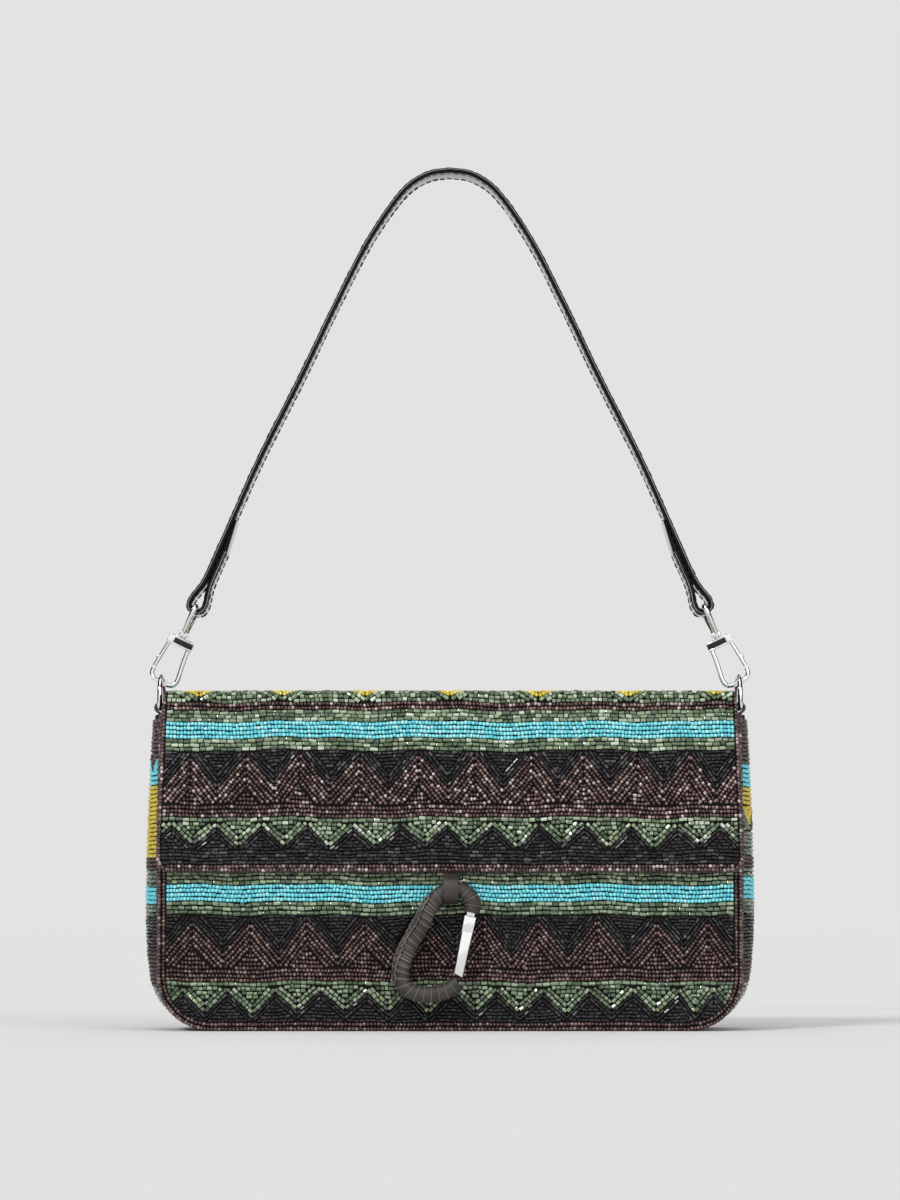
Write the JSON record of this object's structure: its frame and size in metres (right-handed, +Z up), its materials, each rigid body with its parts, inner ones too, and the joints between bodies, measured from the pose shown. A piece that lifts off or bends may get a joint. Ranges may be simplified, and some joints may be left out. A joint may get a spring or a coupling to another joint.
{
  "type": "beaded shoulder bag",
  "caption": "Slim flap shoulder bag covered in striped and zigzag beadwork, with a clip-on leather strap and a wrapped carabiner charm.",
  "frame": {"origin": "middle of the flat base, between the two ring tabs, where the bag rests", "axes": "+X to the right seen from the front, the front faces -Y, +Z up to the strap"},
  "size_m": [0.2544, 0.059, 0.3627],
  "materials": {
    "beadwork": "glass beads sewn in rows on black cloth",
    "board": "plain stiffener board",
    "lining_cloth": "matt woven lining",
    "dark_leather": "smooth dark leather with painted edges",
    "polished_metal": "polished"
  },
  "bodies": {
    "bag": {"front_panel": "beadwork", "back_panel": "beadwork", "gusset": "beadwork", "front_stiffener": "board", "back_stiffener": "board", "base_board": "board", "lining": "lining_cloth", "inner_pocket": "lining_cloth", "top_panel": "beadwork", "magnet_socket": "polished_metal", "ring_tab_left": "dark_leather", "ring_tab_right": "dark_leather"},
    "flap_upper": {"flap_upper": "beadwork"},
    "flap_front": {"flap_front": "beadwork", "magnet_stud": "polished_metal"},
    "charm_loop": {"charm_loop": "dark_leather"},
    "carabiner": {"carabiner_core": "polished_metal", "carabiner_wrap": "dark_leather", "carabiner_rivet": "polished_metal"},
    "carabiner_gate": {"carabiner_gate": "polished_metal"},
    "d_ring_left": {"d_ring_left": "polished_metal"},
    "d_ring_right": {"d_ring_right": "polished_metal"},
    "strap": {"strap": "dark_leather", "strap_eye_left": "polished_metal", "strap_eye_right": "polished_metal"},
    "hook_left": {"hook_frame_left": "polished_metal", "gate_rivet_left": "polished_metal"},
    "hook_right": {"hook_frame_right": "polished_metal", "gate_rivet_right": "polished_metal"},
    "hook_gate_left": {"hook_gate_left": "polished_metal"},
    "hook_gate_right": {"hook_gate_right": "polished_metal"}
  },
  "joints": [
    {"name": "flap_lift", "type": "hinge", "parent": "bag", "child": "flap_upper", "pos_m": [0, -0.003, 0.1385], "axis": [-1, 0, 0], "range_deg": [0, 70]},
    {"name": "flap_unfold", "type": "hinge", "parent": "flap_upper", "child": "flap_front", "pos_m": [0, -0.0215, 0.1365], "axis": [-1, 0, 0], "range_deg": [0, 90]},
    {"name": "charm_lift", "type": "hinge", "parent": "flap_front", "child": "charm_loop", "pos_m": [0.0004, -0.0235, 0.0636], "axis": [-1, 0, 0], "range_deg": [0, 70]},
    {"name": "carabiner_swing", "type": "hinge", "parent": "charm_loop", "child": "carabiner", "pos_m": [0.0004, -0.028, 0.0572], "axis": [0, 1, 0], "range_deg": [-1, 6]},
    {"name": "carabiner_gate_open", "type": "hinge", "parent": "carabiner", "child": "carabiner_gate", "pos_m": [0.00748, -0.028, 0.04286], "axis": [0, 1, 0], "range_deg": [0, 25], "stiffness_Nm_per_rad": 0.02, "springref_deg": -28.65},
    {"name": "ring_tilt_left", "type": "hinge", "parent": "bag", "child": "d_ring_left", "pos_m": [-0.12101, 0, 0.1336], "axis": [0, 1, 0], "range_deg": [-1, 5]},
    {"name": "ring_tilt_right", "type": "hinge", "parent": "bag", "child": "d_ring_right", "pos_m": [0.12101, 0, 0.1336], "axis": [0, -1, 0], "range_deg": [-1, 5]},
    {"name": "strap_swing", "type": "hinge", "parent": "bag", "child": "strap", "pos_m": [0, 0, 0.1446], "axis": [-1, 0, 0], "range_deg": [-70, 42]},
    {"name": "hook_swivel_left", "type": "hinge", "parent": "strap", "child": "hook_left", "pos_m": [-0.12101, 0, 0.1446], "axis": [0.4226, 0, 0.9063], "range_deg": [-20, 20]},
    {"name": "hook_swivel_right", "type": "hinge", "parent": "strap", "child": "hook_right", "pos_m": [0.12101, 0, 0.1446], "axis": [-0.4226, 0, 0.9063], "range_deg": [-20, 20]},
    {"name": "hook_gate_open_left", "type": "hinge", "parent": "hook_left", "child": "hook_gate_left", "pos_m": [-0.11707, 0, 0.16317], "axis": [0, -1, 0], "range_deg": [0, 18], "stiffness_Nm_per_rad": 0.01, "springref_deg": -28.65},
    {"name": "hook_gate_open_right", "type": "hinge", "parent": "hook_right", "child": "hook_gate_right", "pos_m": [0.11707, 0, 0.16317], "axis": [0, 1, 0], "range_deg": [0, 18], "stiffness_Nm_per_rad": 0.01, "springref_deg": -28.65}
  ]
}
